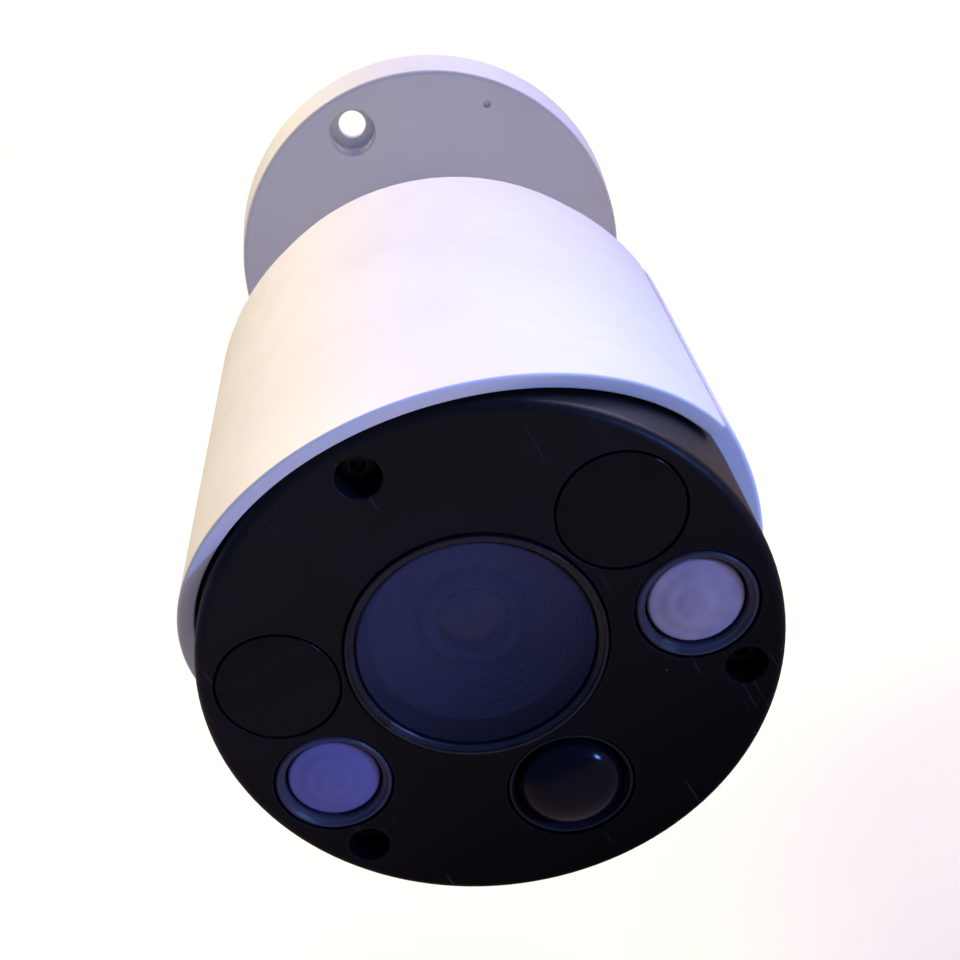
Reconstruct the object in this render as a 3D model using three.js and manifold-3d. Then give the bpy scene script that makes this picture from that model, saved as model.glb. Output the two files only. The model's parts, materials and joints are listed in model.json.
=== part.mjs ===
// Floodlight security camera: a short round camera with two white spotlights, two infrared
// windows and a motion sensor in its face, under a sun hood, on a wall bracket that pans,
// tilts and rolls.  Millimetres, +Z up.  The wall is the plane Y = 0, the camera looks along
// -Y, and its axis, the bracket and the wall base all lie on the Y axis.
//
// Each solid is written by its depth: the distance back from the camera's front face.

import * as THREE from 'three';
import { mergeVertices } from 'three/addons/utils/BufferGeometryUtils.js';
import Module from 'manifold-3d';

const wasm = await Module();
wasm.setup();

// ---------------------------------------------------------------- driving dimensions
const OVERALL = 174; // wall to camera face
const GAP = 0.3; // clearance between touching pieces
const BODY_R = 41.8; // outside of the housing and of the hood
const CAP_R = 39; // black front cap
const CAP_DEPTH = 22;
const FACE_PLATE = 5; // thickness of the cap's front plate
const HOUSING_FRONT = 23.4;
const HOUSING_REAR = 82;
const CHASSIS_FRONT = 38;
const COVER_FRONT = 83.4;
const COVER_REAR = 100.3;
const PIVOT = 124; // depth of the tilt pin
const FOOT_REAR = 155.7; // rear of the bracket arm
const BASE_FRONT = 160; // front face of the wall base
const BASE_R = 42.8;
const GASKET_THICK = 1;

// What the face carries: places and radii.
const LENS_Z = 4.4; // camera lens above the axis
const LENS_RING_R = 17.2;
const GLASS_R = 15.7;
const IR_X = 25.2;
const IR_Z = 12.9;
const IR_R = 8.15;
const SPOT_X = 27.6;
const SPOT_Z = -4.8;
const SPOT_RING_R = 8;
const SPOT_LENS_R = 6.4;
const PIR_Z = -22.8;
const PIR_RING_R = 8.7;
const PIR_DOME_R = 7.4;

// Fasteners: three of each main screw, at these angles from the top.
const TRIPLE = [['top', 0], ['right', 120], ['left', 240]];
const SIDES = [['right', 1], ['left', -1]];
const FACE_SCREW_CIRCLE = 33.8;
const REAR_SCREW_CIRCLE = 31.6;
const BASE_SCREW_CIRCLE = 34.6;
const SCREW_R = 1.35;
const SCREW_HOLE_R = 1.7;
const COLUMN_R = 3.9; // screw columns of the cap and of the housing's front

const BOARD = 1.6; // circuit board thickness
const BOARD_FRONT = 10.5; // light board
const MAIN_BOARD_FRONT = 46;
const THROUGH = 1; // how far a cut runs past the face it opens

// Segments of a circle, by its size.
const LARGE = 44;
const WIDE = 40;
const MEDIUM = 32;
const ROUND = 28;
const SMALL = 20;
const BOLT = 16;
const TINY = 12;
const HOLE = 8;
const HEX = 6;

// ---------------------------------------------------------------- solids
function solid(geometry) {
  const clean = geometry.index ? geometry.toNonIndexed() : geometry;
  clean.deleteAttribute('normal');
  clean.deleteAttribute('uv');
  const merged = mergeVertices(clean, 1e-4);
  const make = (indices) => new wasm.Manifold(new wasm.Mesh({
    numProp: 3,
    vertProperties: new Float32Array(merged.attributes.position.array),
    triVerts: new Uint32Array(indices),
  }));
  const indices = Array.from(merged.index.array);
  const kept = [];
  for (let i = 0; i < indices.length; i += 3) {
    const [a, b, c] = indices.slice(i, i + 3);
    if (a !== b && b !== c && c !== a) kept.push(a, b, c);
  }
  const shape = make(kept);
  if (shape.volume() >= 0) return shape;
  return make(kept.reverse());
}

// A turned solid about the Y axis: [radius, depth] pairs, closed on the axis or on themselves.
function turned(profile, segments = MEDIUM) {
  const points = profile.map(([radius, depth]) => new THREE.Vector2(radius, depth));
  if (profile[0][0] > 0) points.push(points[0].clone());
  return solid(new THREE.LatheGeometry(points, segments));
}

// A ring between two radii and two depths.
function ring(inner, outer, front, rear, segments = MEDIUM) {
  return turned([[inner, front], [outer, front], [outer, rear], [inner, rear]], segments);
}

// A round rod along Y.
function rod(radius, front, rear, x = 0, z = 0, segments = SMALL) {
  const geometry = new THREE.CylinderGeometry(radius, radius, rear - front, segments);
  geometry.translate(x, (front + rear) / 2, z);
  return solid(geometry);
}

// A round rod along X, through the tilt pivot.
function pin(radius, left, right, segments = SMALL) {
  const geometry = new THREE.CylinderGeometry(radius, radius, right - left, segments);
  geometry.rotateZ(Math.PI / 2);
  geometry.translate((left + right) / 2, PIVOT, 0);
  return solid(geometry);
}

// A block given by its ranges in x, depth and z.
function block([x0, x1], [d0, d1], [z0, z1]) {
  const geometry = new THREE.BoxGeometry(x1 - x0, d1 - d0, z1 - z0);
  geometry.translate((x0 + x1) / 2, (d0 + d1) / 2, (z0 + z1) / 2);
  return solid(geometry);
}

// A square block along Y.
function squareBlock(half, front, rear, x = 0, z = 0) {
  return block([x - half, x + half], [front, rear], [z - half, z + half]);
}

// A flat outline in x and z, given its thickness in depth.
function slab(shape, front, rear, curveSegments) {
  const geometry = new THREE.ExtrudeGeometry(shape, {
    depth: rear - front, bevelEnabled: false, curveSegments,
  });
  geometry.rotateX(Math.PI / 2);
  geometry.translate(0, rear, 0);
  return solid(geometry);
}

// A flat outline in depth and z, given its half thickness in x.
function cheek(shape, half, curveSegments) {
  const geometry = new THREE.ExtrudeGeometry(shape, {
    depth: 2 * half, bevelEnabled: false, curveSegments,
  });
  const turn = new THREE.Matrix4().makeBasis(
    new THREE.Vector3(0, 1, 0), new THREE.Vector3(0, 0, 1), new THREE.Vector3(1, 0, 0));
  geometry.applyMatrix4(turn);
  geometry.translate(-half, 0, 0);
  return solid(geometry);
}

function moved(shape, x, z) {
  return shape.translate([x, 0, z]);
}

// x and z of a point on a circle, the angle taken from the top, clockwise from the front.
function around(radius, degrees) {
  const angle = THREE.MathUtils.degToRad(degrees);
  return [radius * Math.sin(angle), radius * Math.cos(angle)];
}

// A piece of an annulus that spans the top, as an outline in x and z.
function arch(inner, outer, halfAngle) {
  const start = Math.PI / 2 - halfAngle;
  const end = Math.PI / 2 + halfAngle;
  const shape = new THREE.Shape();
  shape.absarc(0, 0, outer, start, end, false);
  shape.absarc(0, 0, inner, end, start, true);
  shape.closePath();
  return shape;
}

// A cap screw with its head to the front, or to the rear when toFront is false.
function screw({ headR, headLength, shankR, front, rear, toFront, x, z }) {
  const socketDepth = headLength * 0.55;
  const headFront = toFront ? front : rear - headLength;
  const middle = headFront + headLength / 2;
  const head = rod(headR, headFront, headFront + headLength, x, z, 14);
  const shank = toFront
    ? rod(shankR, middle, rear, x, z, HOLE)
    : rod(shankR, front, middle, x, z, HOLE);
  const socket = toFront
    ? rod(headR / 2, front - THROUGH, front + socketDepth, x, z, HEX)
    : rod(headR / 2, rear - socketDepth, rear + THROUGH, x, z, HEX);
  return head.add(shank).subtract(socket);
}

// ---------------------------------------------------------------- meshes and materials
const LOOKS = { // colour, roughness, metalness
  white: [0xeeeef2, 0.45, 0],
  black: [0x0b0c10, 0.5, 0],
  darkGlass: [0x05060a, 0.12, 0],
  blackGloss: [0x08080c, 0.15, 0],
  lilac: [0xc9c2dc, 0.3, 0],
  bezel: [0x23242c, 0.35, 0.1],
  smoke: [0x5c5c66, 0.35, 0],
  lens: [0x182238, 0.05, 0],
  can: [0xa8aab0, 0.35, 1],
  steel: [0x8c8f96, 0.3, 1],
  blackSteel: [0x17181c, 0.4, 0.9],
  aluminium: [0xb8bbc0, 0.45, 1],
  rubber: [0x151517, 0.85, 0],
  board: [0x14442c, 0.55, 0],
  chip: [0x1a1a1e, 0.4, 0],
  led: [0xf2e9a8, 0.4, 0],
};

function piece(name, shape, look) {
  const mesh = shape.getMesh();
  const geometry = new THREE.BufferGeometry();
  const positions = new Float32Array(mesh.vertProperties);
  geometry.setAttribute('position', new THREE.BufferAttribute(positions, 3));
  geometry.setIndex(new THREE.BufferAttribute(new Uint32Array(mesh.triVerts), 1));
  geometry.computeVertexNormals();
  const [color, roughness, metalness] = LOOKS[look];
  const material = new THREE.MeshStandardMaterial({ color, roughness, metalness });
  const part = new THREE.Mesh(geometry, material);
  part.name = name;
  return part;
}

function body(name) {
  const group = new THREE.Group();
  group.name = name;
  return group;
}

const camera = body('camera_body');
const knuckle = body('knuckle');
const arm = body('arm');
const base = body('base');

// ---------------------------------------------------------------- front cap
const CAP_FILLET = 1.5;
const CAP_INNER = CAP_R - 2.5;
const SCREW_WELL_R = 2.9; // counterbore over each face screw
const SCREW_FLOOR = 6;

// Pockets in the face: radius and depth of the seat, radius of the bore behind it.
const POCKETS = [
  { x: 0, z: LENS_Z, seat: LENS_RING_R + GAP, depth: 3.4, bore: 14.6, segments: WIDE },
  { x: 0, z: PIR_Z, seat: PIR_RING_R + GAP, depth: 2.4, bore: 8.3, segments: ROUND },
];
for (const [, side] of SIDES) {
  POCKETS.push(
    { x: side * IR_X, z: IR_Z, seat: IR_R + GAP, depth: 1.8, bore: 7.2, segments: ROUND },
    { x: side * SPOT_X, z: SPOT_Z, seat: SPOT_RING_R + GAP, depth: 2.6, bore: 7.6, segments: ROUND },
  );
}

function frontCap() {
  const rimR = CAP_R - CAP_FILLET;
  const profile = [[0, 0], [rimR, 0]];
  for (const step of [1 / 3, 2 / 3, 1]) {
    const angle = step * Math.PI / 2;
    profile.push([
      rimR + CAP_FILLET * Math.sin(angle),
      CAP_FILLET - CAP_FILLET * Math.cos(angle),
    ]);
  }
  profile.push([CAP_R, CAP_DEPTH], [CAP_INNER, CAP_DEPTH], [CAP_INNER, FACE_PLATE], [0, FACE_PLATE]);
  let cap = turned(profile, LARGE);
  const envelope = rod(CAP_R - 0.5, 0, CAP_DEPTH, 0, 0, LARGE);
  for (const [, angle] of TRIPLE) {
    const [x, z] = around(FACE_SCREW_CIRCLE, angle);
    const column = rod(COLUMN_R, FACE_PLATE - THROUGH, CAP_DEPTH, x, z, TINY);
    cap = cap.add(column.intersect(envelope))
      .subtract(rod(SCREW_WELL_R, -THROUGH, SCREW_FLOOR, x, z, SMALL))
      .subtract(rod(SCREW_HOLE_R, FACE_PLATE, CAP_DEPTH + THROUGH, x, z, HOLE));
  }
  for (const pocket of POCKETS) {
    const { x, z, segments } = pocket;
    cap = cap.subtract(rod(pocket.seat, -THROUGH, pocket.depth, x, z, segments))
      .subtract(rod(pocket.bore, -THROUGH, FACE_PLATE + THROUGH, x, z, segments));
  }
  return cap;
}
camera.add(piece('front_cap', frontCap(), 'black'));

for (const [name, angle] of TRIPLE) {
  const [x, z] = around(FACE_SCREW_CIRCLE, angle);
  const faceScrew = screw({
    headR: 2.4, headLength: 2.2, shankR: SCREW_R, front: 3.5, rear: 31, toFront: true, x, z,
  });
  camera.add(piece(`face_screw_${name}`, faceScrew, 'blackSteel'));
}

// ---------------------------------------------------------------- camera lens
const RING_REAR = 3.1;
const RING_INNER = GLASS_R + GAP;
const RING_FRONT = -0.4; // the ring and its window stand a little proud of the face
const WINDOW_FRONT = 0.4;
const trim = turned([
  [LENS_RING_R, RING_FRONT], [LENS_RING_R - 0.6, RING_FRONT], [RING_INNER, WINDOW_FRONT - 0.2],
  [RING_INNER, RING_REAR], [LENS_RING_R, RING_REAR],
], WIDE);
camera.add(piece('lens_trim_ring', moved(trim, 0, LENS_Z), 'bezel'));
camera.add(piece('lens_window', rod(GLASS_R, WINDOW_FRONT, RING_REAR, 0, LENS_Z, WIDE), 'darkGlass'));

// Light baffle: rings that step down towards the lens.
const BAFFLE_R = 14.2;
const BAFFLE_STEP = 1.2;
const baffleProfile = [[BAFFLE_R, 3.7]];
for (let step = 0; step < 4; step += 1) {
  const depth = 3.7 + step * BAFFLE_STEP;
  const radius = 13.4 - step * 2;
  baffleProfile.push([radius, depth]);
  if (step < 3) baffleProfile.push([radius - 0.8, depth + BAFFLE_STEP]);
}
const BAFFLE_REAR = 8.4;
baffleProfile.push([7.4, BAFFLE_REAR], [BAFFLE_R, BAFFLE_REAR]);
camera.add(piece('lens_baffle', moved(turned(baffleProfile, SMALL), 0, LENS_Z), 'black'));

const BARREL_R = 7.1;
const BARREL_REAR = 24;
const ELEMENT_SEAT_R = 5.2;
const ELEMENT_SEAT = 8;
const barrel = turned([
  [0, ELEMENT_SEAT], [ELEMENT_SEAT_R, ELEMENT_SEAT], [ELEMENT_SEAT_R, 6.4], [BARREL_R - 0.5, 6.4],
  [BARREL_R, 7], [BARREL_R, BARREL_REAR], [0, BARREL_REAR],
], SMALL);
camera.add(piece('lens_barrel', moved(barrel, 0, LENS_Z), 'blackSteel'));
const ELEMENT_R = 4.8;
const ELEMENT_REAR = ELEMENT_SEAT - GAP;
const element = turned([
  [0, 5.3], [1.7, 5.45], [3.3, 5.95], [ELEMENT_R, 6.9], [ELEMENT_R, ELEMENT_REAR], [0, ELEMENT_REAR],
], SMALL);
camera.add(piece('lens_front_element', moved(element, 0, LENS_Z), 'lens'));

// Lens holder on the image sensor's board, and the frame that stands the board off the chassis.
const HOLDER_REAR = 28;
const SENSOR_BOARD_FRONT = 30.1;
const holder = squareBlock(10, 14, HOLDER_REAR, 0, LENS_Z)
  .subtract(rod(BARREL_R + GAP, 13, BARREL_REAR + THROUGH, 0, LENS_Z, SMALL))
  .subtract(rod(5, BARREL_REAR, HOLDER_REAR + THROUGH, 0, LENS_Z, TINY));
camera.add(piece('lens_holder', holder, 'chip'));
const sensor = block([-4.2, 4.2], [HOLDER_REAR + GAP, SENSOR_BOARD_FRONT - GAP],
  [LENS_Z - 3.2, LENS_Z + 3.2]);
camera.add(piece('image_sensor', sensor, 'chip'));
const sensorBoard = block([-19, 19], [SENSOR_BOARD_FRONT, SENSOR_BOARD_FRONT + BOARD],
  [LENS_Z - 17, LENS_Z + 17]);
camera.add(piece('sensor_board', sensorBoard, 'board'));
const frameFront = SENSOR_BOARD_FRONT + BOARD + GAP;
const frameRear = CHASSIS_FRONT - GAP;
const sensorFrame = block([-16, 16], [frameFront, frameRear], [LENS_Z - 15, LENS_Z + 15])
  .subtract(squareBlock(12, frameFront - THROUGH, frameRear + THROUGH, 0, LENS_Z));
camera.add(piece('sensor_frame', sensorFrame, 'chip'));

// ---------------------------------------------------------------- lights and motion sensor
const EMITTER_REAR = BOARD_FRONT - GAP; // emitters stand on the light board
const irLed = turned([
  [0, 5.6], [1.5, 6], [2.5, 7.2], [2.5, EMITTER_REAR], [0, EMITTER_REAR],
], TINY);
const BEZEL_INNER = SPOT_LENS_R + GAP;
const BEZEL_REAR = 2.3;
const spotBezel = turned([
  [SPOT_RING_R, 0.25], [SPOT_RING_R - 0.3, 0], [SPOT_RING_R - 0.6, 0], [7.1, 0.55], [6.9, 0.55],
  [BEZEL_INNER, 1], [BEZEL_INNER, BEZEL_REAR], [SPOT_RING_R, BEZEL_REAR],
], ROUND);
const spotLens = turned([
  [0, 0.45], [2.5, 0.55], [4.8, 0.85], [SPOT_LENS_R, 1.3], [SPOT_LENS_R, FACE_PLATE], [3.2, 8.7],
  [0, 8.7],
], 24);
for (const [name, side] of SIDES) {
  const irX = side * IR_X;
  const spotX = side * SPOT_X;
  camera.add(piece(`ir_window_${name}`, rod(IR_R, 0.05, 1.5, irX, IR_Z, ROUND), 'blackGloss'));
  camera.add(piece(`ir_led_${name}`, moved(irLed, irX, IR_Z), 'blackGloss'));
  camera.add(piece(`spot_bezel_${name}`, moved(spotBezel, spotX, SPOT_Z), 'bezel'));
  camera.add(piece(`spot_lens_${name}`, moved(spotLens, spotX, SPOT_Z), 'lilac'));
  const spotLed = squareBlock(2.5, 9, EMITTER_REAR, spotX, SPOT_Z);
  camera.add(piece(`spot_led_${name}`, spotLed, 'led'));
}

const pirRing = turned([
  [PIR_RING_R, 0.3], [PIR_RING_R - 0.4, 0.3], [7.75, 1.5], [7.75, 2.1], [PIR_RING_R, 2.1],
], ROUND);
camera.add(piece('pir_ring', moved(pirRing, 0, PIR_Z), 'smoke'));

// The dome is a thin cup: an ellipse outside, stepped inside.
const DOME_FOOT = 1.6; // depth where the dome's sides become straight
const DOME_RISE = 4.2;
const DOME_REAR = 4.6;
const domeProfile = [[0, DOME_FOOT - DOME_RISE]];
for (const step of [0.25, 0.5, 0.75, 1]) {
  const angle = step * Math.PI / 2;
  domeProfile.push([PIR_DOME_R * Math.sin(angle), DOME_FOOT - DOME_RISE * Math.cos(angle)]);
}
domeProfile.push([PIR_DOME_R, DOME_REAR], [6.6, DOME_REAR], [6.6, DOME_FOOT], [4.4, -0.6], [0, -1.5]);
camera.add(piece('pir_dome', moved(turned(domeProfile, 24), 0, PIR_Z), 'blackGloss'));
camera.add(piece('pir_sensor', rod(4.1, 6, EMITTER_REAR, 0, PIR_Z, BOLT), 'can'));

// Ring-shaped board with a notch around each screw column.
function lightBoard() {
  const front = BOARD_FRONT - THROUGH;
  const rear = BOARD_FRONT + BOARD + THROUGH;
  let board = rod(CAP_INNER - GAP, BOARD_FRONT, BOARD_FRONT + BOARD, 0, 0, WIDE)
    .subtract(rod(12, front, rear, 0, LENS_Z, SMALL));
  for (const [, angle] of TRIPLE) {
    const [x, z] = around(FACE_SCREW_CIRCLE, angle);
    const notch = block([-1.5, 1.5], [front, rear], [0, 6]).rotate([0, angle, 0]);
    board = board.subtract(rod(COLUMN_R + GAP, front, rear, x, z, TINY)).subtract(moved(notch, x, z));
  }
  return board;
}
camera.add(piece('light_board', lightBoard(), 'board'));

// ---------------------------------------------------------------- housing and hood
const HOOD_INNER = BODY_R - 2.3;
const HOOD_REAR = 81;
const HOOD_HALF_ANGLE = THREE.MathUtils.degToRad(80);
// The hood's front edge is raked: it overhangs the face at the top and is swept back below.
const RAKE_TOP = -2.4; // depth of the edge at the top
const RAKE = 0.52; // depth it gains for each millimetre down
const SEAT_R = HOOD_INNER - GAP; // the hood lies on the housing's turned-down upper part
const HOUSING_INNER = BODY_R - 6;
const CHASSIS_REAR = CHASSIS_FRONT + 3;
const BEHIND_CHASSIS = CHASSIS_REAR + GAP;

function bodyHousing() {
  const edge = 0.6;
  let housing = turned([
    [CAP_INNER, HOUSING_FRONT], [BODY_R - edge, HOUSING_FRONT], [BODY_R, HOUSING_FRONT + edge],
    [BODY_R, HOUSING_REAR], [HOUSING_INNER, HOUSING_REAR], [HOUSING_INNER, BEHIND_CHASSIS],
    [CAP_INNER, BEHIND_CHASSIS],
  ], LARGE);
  const hoodSeat = arch(SEAT_R, BODY_R + 4, HOOD_HALF_ANGLE + 0.03);
  housing = housing.subtract(slab(hoodSeat, HOUSING_FRONT - THROUGH, HOUSING_REAR + THROUGH, 24));
  const envelope = rod(SEAT_R - GAP, 0, HOUSING_REAR, 0, 0, LARGE);
  for (const [, angle] of TRIPLE) {
    const [x, z] = around(FACE_SCREW_CIRCLE, angle);
    const [rearX, rearZ] = around(REAR_SCREW_CIRCLE, angle);
    const frontBoss = rod(COLUMN_R, HOUSING_FRONT, 36, x, z, TINY);
    const rearBoss = rod(5, 68, HOUSING_REAR, rearX, rearZ, TINY);
    housing = housing.add(frontBoss.intersect(envelope)).add(rearBoss.intersect(envelope))
      .subtract(rod(SCREW_HOLE_R, HOUSING_FRONT - THROUGH, 33, x, z, HOLE))
      .subtract(rod(SCREW_HOLE_R, 71, HOUSING_REAR + THROUGH, rearX, rearZ, HOLE));
  }
  return housing;
}
camera.add(piece('body_housing', bodyHousing(), 'white'));

const frontGasket = ring(37.6, CAP_R - 0.6, CAP_DEPTH + GAP, HOUSING_FRONT - GAP, WIDE);
camera.add(piece('front_gasket', frontGasket, 'rubber'));

function sunHood() {
  const corner = 4; // rounding of the two lower front corners
  const lowZ = BODY_R * Math.cos(HOOD_HALF_ANGLE) + 0.8 * corner; // middle of that rounding
  const rakeAt = (z) => RAKE_TOP + RAKE * (BODY_R - z);
  const slant = Math.atan(RAKE);
  const above = BODY_R + THROUGH;
  const behind = HOOD_REAR + THROUGH;
  const side = new THREE.Shape();
  side.moveTo(behind, above);
  side.lineTo(rakeAt(above), above);
  side.absarc(rakeAt(lowZ) + corner / Math.cos(slant), lowZ, corner, Math.PI + slant,
    1.5 * Math.PI, false);
  side.lineTo(behind, lowZ - corner);
  side.closePath();
  const shell = slab(arch(HOOD_INNER, BODY_R, HOOD_HALF_ANGLE), RAKE_TOP - THROUGH, HOOD_REAR, 30);
  return shell.intersect(cheek(side, 60, HEX));
}
camera.add(piece('sun_hood', sunHood(), 'white'));

// ---------------------------------------------------------------- chassis and main board
const SPACER_X = 27;
const STUD_HOLE_R = 1.5;
let chassis = rod(CAP_INNER - GAP, CHASSIS_FRONT, CHASSIS_REAR, 0, 0, WIDE);
let mainBoard = rod(33, MAIN_BOARD_FRONT, MAIN_BOARD_FRONT + BOARD, 0, 0, 36);
for (const [name, side] of SIDES) {
  const x = side * SPACER_X;
  chassis = chassis.subtract(
    rod(STUD_HOLE_R, CHASSIS_FRONT - THROUGH, CHASSIS_REAR + THROUGH, x, 0, HOLE));
  mainBoard = mainBoard.subtract(
    rod(STUD_HOLE_R, MAIN_BOARD_FRONT - THROUGH, MAIN_BOARD_FRONT + BOARD + THROUGH, x, 0, HOLE));
  const spacer = ring(STUD_HOLE_R, 3, BEHIND_CHASSIS, MAIN_BOARD_FRONT - GAP, TINY);
  camera.add(piece(`board_spacer_${name}`, moved(spacer, x, 0), 'steel'));
  const headLength = 1.8;
  const boardScrew = screw({
    headR: 2.6,
    headLength,
    shankR: 1.15,
    front: CHASSIS_FRONT + 0.5,
    rear: MAIN_BOARD_FRONT + BOARD + GAP + headLength,
    toFront: false,
    x,
    z: 0,
  });
  camera.add(piece(`board_screw_${name}`, boardScrew, 'steel'));
}
camera.add(piece('chassis', chassis, 'aluminium'));
camera.add(piece('main_board', mainBoard, 'board'));
const heatBlock = squareBlock(9, BEHIND_CHASSIS, MAIN_BOARD_FRONT - GAP);
camera.add(piece('heat_block', heatBlock, 'aluminium'));

// ---------------------------------------------------------------- rear cover
// A domed cup with three screw columns, a pad for the cable gland and a round boss that the
// roll collar screws on to.
const COVER_BOSS = 102.3;
const BOSS_R = 13;
const GLAND_Z = -24;
const DOME_LINE = [[22, COVER_REAR], [27, 99.5], [32.5, 96.5], [37.5, 91], [40, 86.5],
  [40.6, COVER_FRONT]];
const CUP_LINE = [[35.6, COVER_FRONT], [34.4, 89.3], [29.6, 93.6], [25.6, 96.4], [0, 96.8]];

function rearCover() {
  let cover = turned([[0, COVER_BOSS], [BOSS_R, COVER_BOSS], [BOSS_R, COVER_REAR], ...DOME_LINE,
    ...CUP_LINE]);
  const envelope = turned([[0, COVER_REAR], ...DOME_LINE, [0, COVER_FRONT]]);
  for (const [, angle] of TRIPLE) {
    const [x, z] = around(REAR_SCREW_CIRCLE, angle);
    const headRoom = rod(3, 91, COVER_BOSS, x, z, BOLT);
    cover = cover.add(rod(4.2, COVER_FRONT, COVER_REAR, x, z, TINY).intersect(envelope))
      .subtract(rod(SCREW_HOLE_R, COVER_FRONT - THROUGH, COVER_REAR, x, z, HOLE))
      .subtract(headRoom);
  }
  return cover.add(rod(7.6, 93.5, COVER_REAR, 0, GLAND_Z, SMALL))
    .subtract(rod(4.2, 90, COVER_REAR + THROUGH, 0, GLAND_Z, BOLT));
}
camera.add(piece('rear_cover', rearCover(), 'white'));

const rearGasket = ring(36.2, 38.4, HOUSING_REAR + GAP, COVER_FRONT - GAP, WIDE);
camera.add(piece('rear_gasket', rearGasket, 'rubber'));
for (const [name, angle] of TRIPLE) {
  const [x, z] = around(REAR_SCREW_CIRCLE, angle);
  const rearScrew = screw({
    headR: 2.6, headLength: 2, shankR: SCREW_R, front: 73, rear: 93.3, toFront: false, x, z,
  });
  camera.add(piece(`rear_screw_${name}`, rearScrew, 'steel'));
}

const GLAND_BORE_R = 3; // lets a 6 mm cable through
const gland = turned([
  [GLAND_BORE_R, 89], [3.9, 89], [3.9, COVER_REAR + 0.1], [6, COVER_REAR + GAP], [6, 102.6],
  [4.6, 104], [GLAND_BORE_R, 104],
], SMALL);
camera.add(piece('cable_gland', moved(gland, 0, GLAND_Z), 'rubber'));
const glandNut = rod(5.8, 90, 93.2, 0, GLAND_Z, HEX).subtract(rod(4.2, 89, 94, 0, GLAND_Z, BOLT));
camera.add(piece('gland_nut', glandNut, 'steel'));

// ---------------------------------------------------------------- roll collar
// A grip ring on the cover's boss: its rear lip holds the tilt lug's flange.
const FLANGE_R = 13.2;
const NECK_R = 9.2;
const COLLAR_REAR = 108.4;
const FLANGE_REAR = 105.5;
const COLLAR_BORE_R = BOSS_R + GAP;

function rollCollar() {
  let collar = turned([
    [COLLAR_BORE_R, COVER_REAR + GAP], [16, COVER_REAR + GAP], [16, 107.6], [15.2, COLLAR_REAR],
    [NECK_R + 0.4, COLLAR_REAR], [NECK_R + 0.4, FLANGE_REAR + GAP],
    [FLANGE_R + GAP, FLANGE_REAR + GAP], [FLANGE_R + GAP, COVER_BOSS], [COLLAR_BORE_R, COVER_BOSS],
  ], ROUND);
  const grips = 8;
  for (let i = 0; i < grips; i += 1) {
    const [x, z] = around(16.9, (i + 0.5) * 360 / grips);
    collar = collar.subtract(rod(1.8, COVER_REAR, COLLAR_REAR + THROUGH, x, z, HEX));
  }
  return collar;
}
camera.add(piece('roll_collar', rollCollar(), 'white'));

// ---------------------------------------------------------------- bracket
const TONGUE = 4.5; // half thickness of the tilt tongue
const EYE_R = 10; // rounding around the tilt pin
const FORK_OUT = 11; // half width of the fork
const PIN_HOLE_R = 2.9;
const PIN_R = 2.5;

// Outline of a lug in depth and z: an eye around the pivot that widens to a root.
function eye(root, halfHeight, waist) {
  const side = Math.sign(root - PIVOT);
  const outline = [[root, halfHeight], ...(waist ? [waist] : [])];
  const shape = new THREE.Shape();
  outline.forEach(([depth, z], i) => (i ? shape.lineTo(depth, -z) : shape.moveTo(depth, -z)));
  shape.lineTo(PIVOT, -EYE_R);
  shape.absarc(PIVOT, 0, EYE_R, -Math.PI / 2, Math.PI / 2, side > 0);
  outline.reverse().forEach(([depth, z]) => shape.lineTo(depth, z));
  shape.closePath();
  return shape;
}

const lugFlange = turned([
  [0, COVER_BOSS + GAP], [FLANGE_R, COVER_BOSS + GAP], [FLANGE_R, FLANGE_REAR], [NECK_R, FLANGE_REAR],
  [NECK_R, 109.6], [7.5, 111.4], [0, 111.4],
], ROUND);
const tiltLug = lugFlange.add(cheek(eye(109.5, 7), TONGUE, 14))
  .subtract(pin(PIN_HOLE_R, -TONGUE - THROUGH, TONGUE + THROUGH, BOLT));
knuckle.add(piece('tilt_lug', tiltLug, 'white'));

const FOOT_R = 15.4;
const FOOT_FRONT = 148;
const PAN_HOLE_R = 3;

function bracketArm() {
  const edge = 1.4;
  const foot = turned([
    [0, FOOT_FRONT], [FOOT_R - edge, FOOT_FRONT], [FOOT_R, FOOT_FRONT + edge], [FOOT_R, FOOT_REAR],
    [0, FOOT_REAR],
  ]);
  const slotRear = PIVOT + EYE_R + 0.8;
  const slot = block([-TONGUE - GAP, TONGUE + GAP], [110, slotRear], [-FOOT_R, FOOT_R]);
  return cheek(eye(FOOT_FRONT + THROUGH, 13, [140, 12]), FORK_OUT, 14).subtract(slot).add(foot)
    .subtract(pin(PIN_HOLE_R, -FORK_OUT - THROUGH, FORK_OUT + THROUGH, BOLT))
    .subtract(rod(PAN_HOLE_R, 150.5, FOOT_REAR + THROUGH, 0, 0, BOLT));
}

arm.add(piece('bracket_arm', bracketArm(), 'white'));

const HEAD_END = FORK_OUT + 3.6;
const tiltBolt = pin(PIN_R, -FORK_OUT - 5.5, FORK_OUT + THROUGH, 14)
  .add(pin(4.8, FORK_OUT + GAP, HEAD_END))
  .subtract(pin(2.3, HEAD_END - 2, HEAD_END + THROUGH, HEX));
arm.add(piece('tilt_bolt', tiltBolt, 'steel'));
const tiltNut = pin(5.2, -FORK_OUT - 4.3, -FORK_OUT - GAP, HEX)
  .subtract(pin(PIN_HOLE_R, -FORK_OUT - 5, -FORK_OUT, 14));
arm.add(piece('tilt_nut', tiltNut, 'steel'));

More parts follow.
